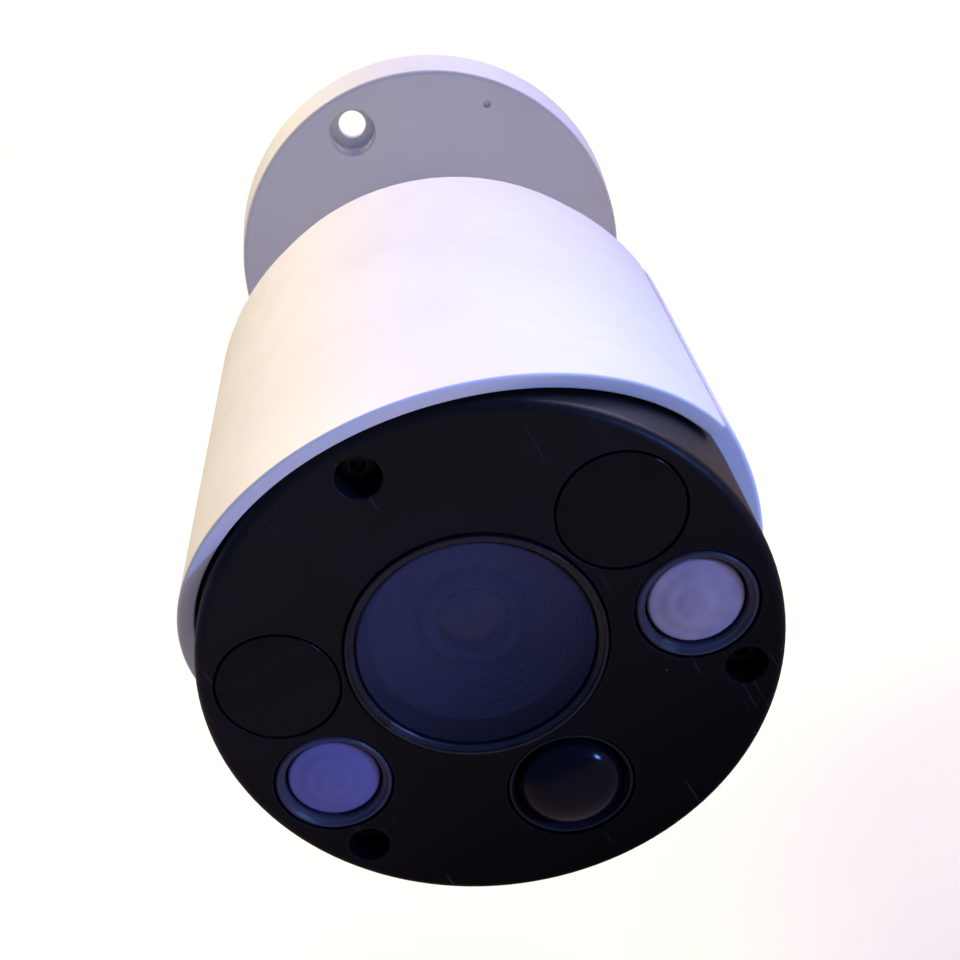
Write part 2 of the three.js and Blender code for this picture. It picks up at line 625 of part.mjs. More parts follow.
const RECESS_FRONT = 166; // floor of the recess that holds the pan bolt's head
const PAN_HEAD_FRONT = 167.8;
const PAN_HEAD_REAR = 171;
const panBolt = rod(2.7, 151, PAN_HEAD_FRONT + THROUGH, 0, 0, 14)
  .add(rod(5, PAN_HEAD_FRONT, PAN_HEAD_REAR))
  .subtract(rod(2.2, PAN_HEAD_REAR - 1.6, PAN_HEAD_REAR + THROUGH, 0, 0, HEX));
arm.add(piece('pan_bolt', panBolt, 'steel'));
const panWasher = ring(PAN_HOLE_R, 7, RECESS_FRONT + GAP, PAN_HEAD_FRONT - GAP, SMALL);
arm.add(piece('pan_washer', panWasher, 'steel'));

// ---------------------------------------------------------------- wall base
const BASE_REAR = OVERALL - GASKET_THICK - GAP;
const BASE_FLARE = 0.8;
const BOSS_FRONT = FOOT_REAR + GAP;
const WALL_HOLE_R = 3;

function basePlate() {
  const edge = 0.8;
  const past = OVERALL + THROUGH;
  let plate = turned([
    [0, BOSS_FRONT], [16 - edge, BOSS_FRONT], [16, BOSS_FRONT + edge], [16, BASE_FRONT],
    [BASE_R - edge, BASE_FRONT], [BASE_R, BASE_FRONT + edge], [BASE_R + BASE_FLARE, BASE_REAR],
    [0, BASE_REAR],
  ], LARGE)
    .subtract(rod(PAN_HOLE_R, BOSS_FRONT - THROUGH, past, 0, 0, BOLT))
    .subtract(rod(8.6, RECESS_FRONT, past))
    .subtract(ring(13, 26, BASE_REAR - 6.5, past)); // moulding groove in the back
  for (const [, angle] of TRIPLE) {
    const [x, z] = around(BASE_SCREW_CIRCLE, angle);
    plate = plate
      .subtract(rod(5, BASE_FRONT - THROUGH, BASE_FRONT + 7, x, z))
      .subtract(rod(WALL_HOLE_R, BASE_FRONT, past, x, z, BOLT))
      .subtract(rod(5.6, BASE_FRONT + 9, past, x, z));
  }
  const [dimpleX, dimpleZ] = around(37.7, 48.6);
  return plate.subtract(rod(0.8, BASE_FRONT - THROUGH, BASE_FRONT + 1.2, dimpleX, dimpleZ, HOLE));
}
base.add(piece('base_plate', basePlate(), 'white'));
const baseGasket = ring(40.6, BASE_R + 0.4, OVERALL - GASKET_THICK, OVERALL, LARGE);
base.add(piece('base_gasket', baseGasket, 'rubber'));

// ---------------------------------------------------------------- the whole camera
const whole = new THREE.Group();
whole.name = 'floodlight_security_camera';
whole.add(base, arm, knuckle, camera);
whole.position.y = -OVERALL;

export default whole;
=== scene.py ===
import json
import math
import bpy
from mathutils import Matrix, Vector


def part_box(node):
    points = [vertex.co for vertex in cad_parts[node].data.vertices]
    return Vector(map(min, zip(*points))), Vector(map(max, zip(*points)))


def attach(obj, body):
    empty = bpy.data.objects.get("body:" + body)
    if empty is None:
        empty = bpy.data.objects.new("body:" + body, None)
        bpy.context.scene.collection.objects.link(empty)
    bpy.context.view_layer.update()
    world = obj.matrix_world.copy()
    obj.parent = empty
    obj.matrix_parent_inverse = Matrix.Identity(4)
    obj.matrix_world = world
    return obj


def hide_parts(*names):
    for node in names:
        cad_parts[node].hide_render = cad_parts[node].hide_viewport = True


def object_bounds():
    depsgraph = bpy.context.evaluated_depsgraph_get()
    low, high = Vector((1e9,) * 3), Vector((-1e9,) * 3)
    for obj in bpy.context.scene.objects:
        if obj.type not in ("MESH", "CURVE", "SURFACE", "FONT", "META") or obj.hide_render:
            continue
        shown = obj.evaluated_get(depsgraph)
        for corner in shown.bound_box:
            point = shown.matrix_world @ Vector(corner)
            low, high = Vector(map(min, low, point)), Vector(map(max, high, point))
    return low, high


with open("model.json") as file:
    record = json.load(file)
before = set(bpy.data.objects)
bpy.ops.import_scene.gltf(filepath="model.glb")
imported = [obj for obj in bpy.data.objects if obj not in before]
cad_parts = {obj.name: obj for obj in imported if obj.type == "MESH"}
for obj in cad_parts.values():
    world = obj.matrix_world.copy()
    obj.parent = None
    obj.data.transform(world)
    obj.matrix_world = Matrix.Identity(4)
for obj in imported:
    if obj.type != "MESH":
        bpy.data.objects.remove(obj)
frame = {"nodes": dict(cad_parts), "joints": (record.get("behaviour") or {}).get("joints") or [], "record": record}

# Looks of the floodlight security camera.  Shapes are built in millimetres from the packed
# frame's boxes.  The outer pieces, the seals and the lens parts are turned, swept or carved here,
# and each stands for the plain CAD node of the same name.  The boards, the emitters and the other
# inner pieces stay the CAD nodes, with materials.  The camera looks along -Y, +Z is up.

from types import SimpleNamespace

import bmesh
import bpy
from mathutils import Quaternion, Vector

MM = 0.001
CAD_LOW, CAD_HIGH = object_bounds()
FINE = 128  # steps round a large circle
MEDIUM = 72
SMALL = 40
TRIPLE = (("top", 0), ("right", 120), ("left", 240))
SIDES = ("right", "left")
THROUGH = 1  # how far a cutter stands out of the face it opens


# ---------------------------------------------------------------- places from the frame
def disc(node):
    """Centre, radius, front and rear of a round CAD node, in millimetres."""
    low, high = (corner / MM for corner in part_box(node))
    return SimpleNamespace(x=(low.x + high.x) / 2, z=(low.z + high.z) / 2,
                           r=(high.z - low.z) / 2, front=low.y, rear=high.y,
                           length=high.y - low.y)


CAP = disc("front_cap")
HOUSING = disc("body_housing")
HOOD = disc("sun_hood")
COVER = disc("rear_cover")
BASE = disc("base_plate")
COLLAR = disc("roll_collar")
LUG = disc("tilt_lug")
ARM = disc("bracket_arm")
RING = disc("lens_trim_ring")
WINDOW = disc("lens_window")
BODY_R = (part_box("body_housing")[1].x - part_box("body_housing")[0].x) / 2 / MM
PIVOT_Y = next(j["pos_m"][1] for j in frame["joints"] if j["name"] == "tilt") / MM


# ---------------------------------------------------------------- mesh building
def new_object(name, mesh):
    made = bpy.data.objects.new(name, mesh)
    bpy.context.scene.collection.objects.link(made)
    return made


def from_bmesh(name, bm):
    bmesh.ops.remove_doubles(bm, verts=bm.verts, dist=1e-8)
    bmesh.ops.recalc_face_normals(bm, faces=bm.faces)
    mesh = bpy.data.meshes.new(name)
    bm.to_mesh(mesh)
    bm.free()
    return new_object(name, mesh)


def rounded(points, steps=4):
    """A polyline whose corners are arcs: each point is (a, b) or (a, b, radius of its corner)."""
    line = []
    last = len(points) - 1
    for i, point in enumerate(points):
        here = Vector(point[:2])
        if len(point) < 3 or i in (0, last):
            line.append(tuple(here))
            continue
        before = Vector(points[i - 1][:2]) - here
        after = Vector(points[i + 1][:2]) - here
        half = before.angle(after) / 2
        reach = min(point[2] / math.tan(half), before.length * 0.49, after.length * 0.49)
        radius = reach * math.tan(half)
        start = here + before.normalized() * reach
        centre = here + (before.normalized() + after.normalized()).normalized() * (
            radius / math.sin(half))
        end = here + after.normalized() * reach
        sweep = (start - centre).angle_signed(end - centre)
        for step in range(steps + 1):
            turned_arm = (start - centre).to_3d()
            turned_arm.rotate(Quaternion((0, 0, 1), -sweep * step / steps))
            line.append((centre.x + turned_arm.x, centre.y + turned_arm.y))
    return line


def turned(name, profile, at, steps=MEDIUM, front=None):
    """A solid turned about the Y line through at: (radius, depth behind its front) pairs."""
    front = at.front if front is None else front
    bm = bmesh.new()
    rings = []
    for radius, depth in profile:
        y = (front + depth) * MM
        if radius < 1e-6:
            rings.append([bm.verts.new((at.x * MM, y, at.z * MM))])
            continue
        rings.append([
            bm.verts.new(((at.x + radius * math.sin(angle)) * MM, y,
                          (at.z + radius * math.cos(angle)) * MM))
            for angle in (2 * math.pi * step / steps for step in range(steps))])
    pairs = list(zip(rings, rings[1:]))
    if len(rings[0]) > 1:
        pairs.append((rings[-1], rings[0]))
    for one, two in pairs:
        for step in range(steps):
            following = (step + 1) % steps
            corners = [one[step % len(one)], one[following % len(one)],
                       two[following % len(two)], two[step % len(two)]]
            corners = list(dict.fromkeys(corners))
            if len(corners) > 2:
                bm.faces.new(corners)
    return from_bmesh(name, bm)


def prism(name, outline, low, high, axis="y"):
    """An outline given its length along Y (outline in x, z) or along X (outline in y, z)."""
    bm = bmesh.new()
    ends = []
    for length in (low, high):
        if axis == "y":
            ends.append([bm.verts.new((a * MM, length * MM, b * MM)) for a, b in outline])
        else:
            ends.append([bm.verts.new((length * MM, a * MM, b * MM)) for a, b in outline])
    bm.faces.new(ends[0])
    bm.faces.new(ends[1])
    count = len(outline)
    for i in range(count):
        j = (i + 1) % count
        bm.faces.new((ends[0][i], ends[0][j], ends[1][j], ends[1][i]))
    return from_bmesh(name, bm)


def polygon(a, b, radius, corners):
    """A regular polygon's corners about the point a, b."""
    return [(a + radius * math.cos(2 * math.pi * i / corners),
             b + radius * math.sin(2 * math.pi * i / corners)) for i in range(corners)]


def around(radius, degrees):
    """x and z of a point on a circle, the angle taken from the top, clockwise from the front."""
    return (radius * math.sin(math.radians(degrees)), radius * math.cos(math.radians(degrees)))


def column(at, radius, start, end, front):
    """A round pillar on the centre of at, from one depth behind the front to another."""
    return turned("column", [(0, start), (radius, start), (radius, end), (0, end)], at, SMALL, front)


def drill(x, z, steps, front, edge=0.0, round_steps=SMALL):
    """A stepped hole's cutter that opens to the front.  steps: (radius, depth it reaches)."""
    mouth = steps[0][0]
    profile = [(0, -THROUGH)]
    if edge:
        for i in range(5):
            angle = math.radians(12 + 78 * i / 4)
            rim = (mouth + edge - edge * math.sin(angle), edge - edge * math.cos(angle))
            if i == 0:
                profile.append((rim[0], -THROUGH))
            profile.append(rim)
    else:
        profile.append((mouth, -THROUGH))
    for i, (radius, depth) in enumerate(steps):
        if i:
            profile.append((radius, steps[i - 1][1]))
        profile.append((radius, depth))
    profile.append((0, steps[-1][1]))
    return turned("cutter", profile, SimpleNamespace(x=x, z=z), round_steps, front)


def mirrored_depth(made, y):
    """Mirrors a cutter or fastener about the plane at y, so that it faces the other way."""
    for vertex in made.data.vertices:
        vertex.co.y = 2 * y * MM - vertex.co.y
    made.data.flip_normals()
    return made


def apply_modifiers(made):
    """Replaces a piece's mesh with what its modifiers make of it."""
    graph = bpy.context.evaluated_depsgraph_get()
    result = bpy.data.meshes.new_from_object(made.evaluated_get(graph))
    made.modifiers.clear()
    made.data = result
    return made


def combine(target, others, operation):
    """Cuts the other solids out of the target, or joins them to it, and drops them."""
    for other in others:
        modifier = target.modifiers.new("combine", "BOOLEAN")
        modifier.operation = operation
        modifier.solver = "EXACT"
        modifier.object = other
    apply_modifiers(target)
    for other in others:
        bpy.data.objects.remove(other)
    return target


def carve(target, *cutters):
    return combine(target, cutters, "DIFFERENCE")


def weld(target, *others):
    return combine(target, others, "UNION")


def soften(made, voxel, smoothing):
    """Gives a cast piece its small fillets: remeshed finely, then smoothed."""
    remesh = made.modifiers.new("remesh", "REMESH")
    remesh.mode = "VOXEL"
    remesh.voxel_size = voxel * MM
    smooth = made.modifiers.new("smooth", "SMOOTH")
    smooth.factor = 0.5
    smooth.iterations = smoothing
    return apply_modifiers(made)


def bevelled(made, width):
    """Rounds a piece's sharp edges."""
    bevel = made.modifiers.new("bevel", "BEVEL")
    bevel.width = width * MM
    bevel.segments = 3
    bevel.limit_method = "ANGLE"
    bevel.angle_limit = math.radians(40)
    return apply_modifiers(made)


def place(made, node, look, body, sharp=38, also=()):
    """Shades a finished piece, gives it its material and lets it stand for its CAD nodes."""
    made.name = node + "_shell"
    made.data.materials.clear()
    made.data.materials.append(look)
    made.data.polygons.foreach_set("use_smooth", [True] * len(made.data.polygons))
    made.data.set_sharp_from_angle(angle=math.radians(sharp))
    weighted = made.modifiers.new("weighted", "WEIGHTED_NORMAL")
    weighted.keep_sharp = True
    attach(made, body)
    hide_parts(node, *also)
    return made


# ---------------------------------------------------------------- materials
IOR = 1.5  # of the plastics and the glass


class Look:
    """A material under construction: its nodes, and shorthands for what several share."""

    def __init__(self, name, roughness, specular=0.5, metallic=0.0, coat=0.0,
                 coat_roughness=0.05, alpha=1.0):
        self.material = bpy.data.materials.new(name)
        self.material.use_nodes = True
        self.tree = self.material.node_tree
        self.shader = self.tree.nodes["Principled BSDF"]
        self.shader.inputs["Roughness"].default_value = roughness
        self.shader.inputs["Specular IOR Level"].default_value = specular
        self.shader.inputs["Metallic"].default_value = metallic
        self.shader.inputs["Coat Weight"].default_value = coat
        self.shader.inputs["Coat Roughness"].default_value = coat_roughness
        self.shader.inputs["IOR"].default_value = IOR
        self.shader.inputs["Alpha"].default_value = alpha
        self.place = self.node("ShaderNodeTexCoord").outputs["Object"]

    def node(self, kind, **values):
        made = self.tree.nodes.new(kind)
        for key, value in values.items():
            setattr(made, key, value)
        return made

    def link(self, output, target):
        self.tree.links.new(output, target)

    def noise(self, per_mm, detail=2.0, stretch=None):
        """Noise with this many features per millimetre."""
        texture = self.node("ShaderNodeTexNoise")
        texture.inputs["Scale"].default_value = per_mm / MM
        texture.inputs["Detail"].default_value = detail
        self.link(self.stretched(stretch), texture.inputs["Vector"])
        return texture.outputs["Fac"]

    def stretched(self, stretch):
        if stretch is None:
            return self.place
        mapping = self.node("ShaderNodeMapping")
        mapping.inputs["Scale"].default_value = stretch[0]
        mapping.inputs["Rotation"].default_value = stretch[1]
        self.link(self.place, mapping.inputs["Vector"])
        return mapping.outputs["Vector"]

    def spread(self, value, low, high, start=0.3, end=0.7):
        """Maps the value's range start to end on to low to high, clamped."""
        ramp = self.node("ShaderNodeMapRange")
        ramp.inputs["From Min"].default_value = start
        ramp.inputs["From Max"].default_value = end
        ramp.inputs["To Min"].default_value = low
        ramp.inputs["To Max"].default_value = high
        self.link(value, ramp.inputs["Value"])
        return ramp.outputs["Result"]

    def blend(self, factor, one, two):
        """A colour between one and two: each is a colour or another node's output."""
        mix = self.node("ShaderNodeMix", data_type="RGBA")
        self.link(factor, mix.inputs["Factor"])
        for value, socket in ((one, mix.inputs["A"]), (two, mix.inputs["B"])):
            if isinstance(value, tuple):
                socket.default_value = (*value, 1)
            else:
                self.link(value, socket)
        return mix.outputs["Result"]

    def blend_value(self, factor, one, two):
        """A number between one and two, each a node's output or a plain number."""
        mix = self.node("ShaderNodeMix", data_type="FLOAT")
        self.link(factor, mix.inputs["Factor"])
        for value, socket in ((one, mix.inputs["A"]), (two, mix.inputs["B"])):
            if isinstance(value, (int, float)):
                socket.default_value = value
            else:
                self.link(value, socket)
        return mix.outputs["Result"]

    def product(self, one, two):
        maths = self.node("ShaderNodeMath", operation="MULTIPLY")
        self.link(one, maths.inputs[0])
        self.link(two, maths.inputs[1])
        return maths.outputs["Value"]

    def along(self, axis, start, end):
        """0 to 1 between two places, in millimetres, along X, Y or Z."""
        split = self.node("ShaderNodeSeparateXYZ")
        self.link(self.place, split.inputs["Vector"])
        return self.spread(split.outputs[axis], 0.0, 1.0, start * MM, end * MM)

    def edges(self, width):
        """1 along the piece's edges, 0 elsewhere."""
        bevel = self.node("ShaderNodeBevel", samples=4)
        bevel.inputs["Radius"].default_value = width * MM
        flat = self.node("ShaderNodeNewGeometry")
        dot = self.node("ShaderNodeVectorMath", operation="DOT_PRODUCT")
        self.link(bevel.outputs["Normal"], dot.inputs[0])
        self.link(flat.outputs["Normal"], dot.inputs[1])
        return self.spread(dot.outputs["Value"], 1.0, 0.0, 0.90, 0.995)

    def specks(self, per_mm, size, share):
        """Small dots: 1 on a speck.  share is the part of the cells that hold one."""
        cells = self.node("ShaderNodeTexVoronoi")
        cells.inputs["Scale"].default_value = per_mm / MM
        self.link(self.place, cells.inputs["Vector"])
        dot = self.spread(cells.outputs["Distance"], 1.0, 0.0, size * 0.5, size)
        split = self.node("ShaderNodeSeparateColor")
        self.link(cells.outputs["Color"], split.inputs["Color"])
        chosen = self.spread(split.outputs["Red"], 0.0, 1.0, 1 - share, 1 - share + 0.02)
        return self.product(dot, chosen)

    def scratches(self, per_mm, turn, threshold):
        """Short hairlines that run one way: 1 on a line."""
        lines = self.noise(per_mm, 1.0, ((1, 1, 0.035), (0, turn, 0)))
        patches = self.noise(0.09, 1.0)
        fine = self.spread(lines, 0.0, 1.0, threshold, threshold + 0.01)
        return self.product(fine, self.spread(patches, 0.0, 1.0, 0.55, 0.62))

    def bump(self, height, strength, depth, under=None):
        bump = self.node("ShaderNodeBump")
        bump.inputs["Strength"].default_value = strength
        bump.inputs["Distance"].default_value = depth * MM
        self.link(height, bump.inputs["Height"])
        if under is not None:
            self.link(under, bump.inputs["Normal"])
        return bump.outputs["Normal"]

    def use(self, color=None, roughness=None, normal=None):
        for value, socket in ((color, "Base Color"), (roughness, "Roughness"), (normal, "Normal")):
            if isinstance(value, tuple):
                self.shader.inputs[socket].default_value = (*value, 1)
            elif value is not None:
                self.link(value, self.shader.inputs[socket])
        return self.material


def satin_white(name, low, high, roughness=0.42, grain=2.2):
    """Moulded or powder-coated white: faint mottling, fine grain, edges polished by handling."""
    look = Look(name, roughness, specular=0.28)
    mottle = look.noise(0.035, 3.0)
    grime = look.noise(0.3, 4.0)
    edge = look.edges(0.5)
    color = look.blend(look.spread(mottle, 0.0, 1.0), low, high)
    color = look.blend(look.spread(grime, 0.0, 0.10, 0.55, 0.8), color,
                       tuple(channel * 0.82 for channel in low))
    color = look.blend(look.product(edge, look.spread(grime, 0.1, 0.5)), color,
                       tuple(min(1.0, channel * 1.05) for channel in high))
    color = look.blend(look.specks(0.22, 0.05, 0.10), color, (0.42, 0.40, 0.39))
    rough = look.blend_value(edge, look.spread(grime, roughness - 0.06, roughness + 0.07),
                             roughness - 0.14)
    normal = look.bump(look.noise(0.5, 2.0), 0.05, 0.05)
    normal = look.bump(look.noise(grain, 2.0), 0.10, 0.02, normal)
    return look.use(color, rough, normal)


def black_plastic(name, base, roughness, specular, dust=0.12, scratch=0.7):
    """Satin black moulding with dust, scratches and rubbed edges; painted shade makes it darker and less glossy
    towards its foot."""
    rubbed = (0.022, 0.023, 0.032)
    scratched = (0.022, 0.022, 0.028)
    dust_grey = (0.16, 0.16, 0.18)
    look = Look(name, roughness)
    cloud = look.noise(0.06, 4.0)
    # painted shade: colour and gloss fall off from the top down to the foot
    above = look.along("Z", -BODY_R, BODY_R)
    look.link(look.spread(above, 0.1 * specular, specular, 0.0, 0.8),
              look.shader.inputs["Specular IOR Level"])
    color = look.blend(look.spread(cloud, 0.0, 1.0), base, tuple(channel * 1.6 for channel in base))
    color = look.blend(above, tuple(channel * 0.2 for channel in base), color)
    edge = look.edges(0.35)
    color = look.blend(look.product(edge, look.spread(cloud, 0.1, 0.6)), color, rubbed)
    dots = look.specks(0.35, 0.06, dust)
    lines = look.scratches(1.6, 0.5, scratch)
    color = look.blend(dots, color, dust_grey)
    color = look.blend(lines, color, scratched)
    rough = look.blend_value(edge, look.spread(cloud, roughness - 0.07, roughness + 0.08),
                             roughness - 0.12)
    normal = look.bump(look.noise(3.0, 2.0), 0.12, 0.02)
    return look.use(color, rough, normal)


def inner_black():
    """Matt blue-black of the baffle and the other hidden mouldings, with painted highlights along their edges."""
    look = Look("inner black", 0.6, specular=0.25)
    cloud = look.noise(0.05, 2.0)
    color = look.blend(look.spread(cloud, 0.0, 1.0), (0.045, 0.050, 0.105), (0.060, 0.066, 0.130))
    # painted highlight: the edges are lighter
    color = look.blend(look.edges(0.12), color, (0.075, 0.085, 0.170))
    return look.use(color, look.spread(cloud, 0.52, 0.68), look.bump(look.noise(1.0, 1.0), 0.02, 0.01))


def dark_gloss(name, base, roughness=0.12, specular=0.5, coat=0.0):
    """Polished dark plastic or filter glass with a faint smear and a few dust grains."""
    look = Look(name, roughness, specular, coat=coat)
    smear = look.noise(0.12, 3.0, ((1, 1, 3), (0, 0.6, 0)))
    color = look.blend(look.spread(smear, 0.0, 1.0), base, tuple(channel * 1.8 for channel in base))
    color = look.blend(look.specks(0.45, 0.05, 0.10), color, (0.14, 0.14, 0.16))
    rough = look.spread(smear, roughness * 0.7, roughness * 1.6)
    normal = look.bump(look.noise(0.8, 2.0), 0.03, 0.02)
    return look.use(color, rough, normal)


def window_glass():
    """Tinted cover glass: partly see-through, with a smear on it, and painted shade that darkens it towards its
    foot.
    """
    look = Look("lens window glass", 0.05, specular=0.5, alpha=0.42)
    look.shader.inputs["Specular Tint"].default_value = (0.35, 0.45, 1.0, 1)
    smear = look.noise(0.10, 3.0, ((1, 1, 2), (0, 0.8, 0)))
    color = look.blend(look.spread(smear, 0.0, 1.0), (0.068, 0.070, 0.130), (0.090, 0.092, 0.165))
    # painted shade: the glass turns darker towards its foot
    color = look.blend(look.along("Z", WINDOW.z - WINDOW.r, WINDOW.z + WINDOW.r),
                       (0.003, 0.006, 0.020), color)
    color = look.blend(look.specks(0.5, 0.05, 0.12), color, (0.30, 0.30, 0.34))
    return look.use(color, look.spread(smear, 0.03, 0.10),
                    look.bump(look.noise(0.4, 1.0), 0.02, 0.02))


def coated_lens():
    """Front element of the lens with its violet-blue coating and a painted reflection that is brighter and more
    violet at a glancing view.
    """
    look = Look("coated lens glass", 0.03, specular=0.9, coat=0.8, coat_roughness=0.02)
    # painted reflection: the coating's colour brightens at a glancing view
    painted_glint = look.node("ShaderNodeLayerWeight")
    painted_glint.inputs["Blend"].default_value = 0.35
    color = look.blend(painted_glint.outputs["Facing"], (0.004, 0.007, 0.030), (0.030, 0.024, 0.090))
    return look.use(color, look.spread(look.noise(0.3, 2.0), 0.02, 0.06),
                    look.bump(look.noise(0.6, 1.0), 0.01, 0.01))


SPOT_SHADE_REACH = 24  # painted shade, darker and bluer on the left, changes between the two spotlights, this far each way


def frosted_lens():
    """Milky spotlight lens: the right one lilac, the left one darker and bluer by painted shade."""
    look = Look("frosted spotlight lens", 0.34, specular=0.4, coat=0.25, coat_roughness=0.12)
    look.shader.inputs["Subsurface Weight"].default_value = 0.25
    look.shader.inputs["Subsurface Radius"].default_value = (1.2, 1.0, 1.4)
    look.shader.inputs["Subsurface Scale"].default_value = MM
    cloud = look.noise(0.22, 3.0)
    color = look.blend(look.spread(cloud, 0.0, 1.0), (0.31, 0.26, 0.35), (0.42, 0.355, 0.44))
    # painted shade: the left spotlight's lens darker and bluer
    color = look.blend(look.along("X", -SPOT_SHADE_REACH, SPOT_SHADE_REACH), (0.13, 0.125, 0.33), color)
    color = look.blend(look.specks(0.8, 0.05, 0.06), color, (0.15, 0.13, 0.2))
    return look.use(color, look.spread(cloud, 0.28, 0.44), look.bump(look.noise(1.2, 3.0), 0.10, 0.03))


def worn_metal(name, low, high, roughness=0.32):
    """Turned or plated metal: fine grain drawn out along Y, duller patches, bright edges."""
    look = Look(name, roughness, metallic=1.0)
    patch = look.noise(0.25, 3.0)
    edge = look.edges(0.25)
    color = look.blend(look.spread(patch, 0.0, 1.0), low, high)
    color = look.blend(edge, color, tuple(min(1.0, channel * 1.35 + 0.02) for channel in high))
    normal = look.bump(look.noise(4.0, 3.0, ((1, 0.15, 1), (0, 0, 0))), 0.15, 0.02)
    return look.use(color, look.spread(patch, roughness - 0.08, roughness + 0.14), normal)


def rubber():
    look = Look("seal rubber", 0.8, specular=0.3)
    bloom = look.noise(0.4, 4.0)
    color = look.blend(look.spread(bloom, 0.0, 1.0), (0.013, 0.013, 0.014), (0.030, 0.030, 0.032))
    return look.use(color, look.spread(bloom, 0.7, 0.92), look.bump(look.noise(5.0, 3.0), 0.3, 0.03))


def circuit_board():
    """Green solder mask over copper tracks, with tinned pads."""
    look = Look("circuit board", 0.38, specular=0.5)
    tracks = look.node("ShaderNodeTexBrick")
    tracks.inputs["Scale"].default_value = 0.35 / MM
    tracks.inputs["Mortar Size"].default_value = 0.04
    look.link(look.stretched(((1, 1, 1), (math.pi / 2, 0, 0))), tracks.inputs["Vector"])
    mask = look.spread(look.noise(0.2, 3.0), 0.0, 1.0)
    color = look.blend(tracks.outputs["Fac"], (0.008, 0.075, 0.035), (0.02, 0.16, 0.07))
    color = look.blend(look.product(mask, look.specks(0.5, 0.22, 0.35)), color, (0.45, 0.43, 0.36))
    return look.use(color, look.spread(mask, 0.32, 0.5), look.bump(tracks.outputs["Fac"], 0.2, 0.03))


def emitter_chip():
    look = Look("emitter chip", 0.3, specular=0.5)
    cloud = look.noise(0.6, 2.0)
    color = look.blend(look.spread(cloud, 0.0, 1.0), (0.62, 0.52, 0.12), (0.80, 0.72, 0.30))
    return look.use(color, look.spread(cloud, 0.25, 0.45), look.bump(look.noise(2.0, 2.0), 0.1, 0.02))


LOOKS = {
    "white_shell": satin_white("white shell", (0.78, 0.78, 0.79), (0.84, 0.84, 0.845)),
    "white_bracket": satin_white("white bracket", (0.76, 0.76, 0.77), (0.82, 0.82, 0.825), 0.5, 1.4),
    "black_face": black_plastic("black face", (0.0058, 0.0050, 0.0066), 0.42, 0.16),
    "inner_black": inner_black(),
    "window_glass": window_glass(),
    "lens_glass": coated_lens(),
    "ir_window": dark_gloss("infrared window", (0.0034, 0.0030, 0.0040), 0.20, 0.12),
    "trim_ring": dark_gloss("trim ring", (0.006, 0.006, 0.011), 0.26, 0.30),
    "spot_lens": frosted_lens(),
    "spot_bezel": dark_gloss("spotlight bezel", (0.026, 0.025, 0.040), 0.34, 0.35),
    "pir_dome": dark_gloss("motion sensor dome", (0.002, 0.002, 0.005), 0.15, 0.12),
    "pir_ring": dark_gloss("motion sensor ring", (0.007, 0.007, 0.011), 0.38, 0.15),
    "sensor_can": worn_metal("sensor can", (0.5, 0.5, 0.51), (0.66, 0.66, 0.67)),
    "led_chip": emitter_chip(),
    "circuit_board": circuit_board(),
    "black_screw": worn_metal("black screw", (0.010, 0.010, 0.011), (0.022, 0.022, 0.024), 0.45),
    "steel": worn_metal("bright steel", (0.42, 0.43, 0.45), (0.58, 0.59, 0.61)),
    "chassis_alloy": worn_metal("cast chassis alloy", (0.50, 0.51, 0.53), (0.68, 0.69, 0.70), 0.42),
    "seal_rubber": rubber(),
}
SLOTS = {row["node"]: row["material_slot"] for row in frame["record"]["subparts"]}
BODIES = {node: body for body, nodes in frame["record"]["behaviour"]["bodies"].items()
          for node in nodes}


def dress(made, node, sharp=38):
    """Places a piece with the body, slot and material of the node that it stands for."""
    slot = SLOTS[node]
    return place(made, node, LOOKS[slot], BODIES[node], sharp)


for node, made in frame["nodes"].items():
    made.data.materials.clear()
    made.data.materials.append(LOOKS[SLOTS[node]])


# ---------------------------------------------------------------- front cap
FACE_FILLET = 1.5
CAP_WALL = 2.5
FACE_PLATE = 5
POCKET_EDGE = 0.16  # rounding of each pocket's mouth
POCKET_GAP = 0.3
SCREW_WELL_R = 2.9
SCREW_HOLE_R = 1.7
SCREW_SEAT = 6  # depth of the face screws' wells
COLUMN_R = 3.9  # the columns that take the face screws
COLUMN_END = 20
POCKETS = {  # seat depth and radius of the bore behind it
    "lens_trim_ring": (3.4, 14.6),
    "pir_ring": (2.4, 8.3),
    "ir_window_right": (1.8, 7.2),
    "ir_window_left": (1.8, 7.2),
    "spot_bezel_right": (2.6, 7.6),
    "spot_bezel_left": (2.6, 7.6),
}


def front_cap():
    inner = CAP.r - CAP_WALL
    cap = turned("cap", rounded([
        (0, 0), (CAP.r, 0, FACE_FILLET), (CAP.r, CAP.length, 0.25), (inner, CAP.length, 0.25),
        (inner, FACE_PLATE, 0.5), (0, FACE_PLATE)], 8), CAP, FINE)
    cutters = []
    for node, (depth, bore) in POCKETS.items():
        seat = disc(node)
        cutters.append(drill(seat.x, seat.z, ((seat.r + POCKET_GAP, depth), (bore, FACE_PLATE + 1)),
                             CAP.front, POCKET_EDGE, MEDIUM))
    columns = []
    for name, _ in TRIPLE:
        screw = disc("face_screw_" + name)
        columns.append(column(screw, COLUMN_R, FACE_PLATE - 1, COLUMN_END, CAP.front))
        well = ((SCREW_WELL_R, SCREW_SEAT), (SCREW_HOLE_R, CAP.length))
        cutters.append(drill(screw.x, screw.z, well, CAP.front, 0.25))
    return carve(weld(cap, *columns), *cutters)


dress(front_cap(), "front_cap")


# ---------------------------------------------------------------- screws
SHANK_R = 1.35
SOCKET_SHARE = 0.5  # of the head's radius
SOCKET_DEPTH = 0.6  # of the head's length


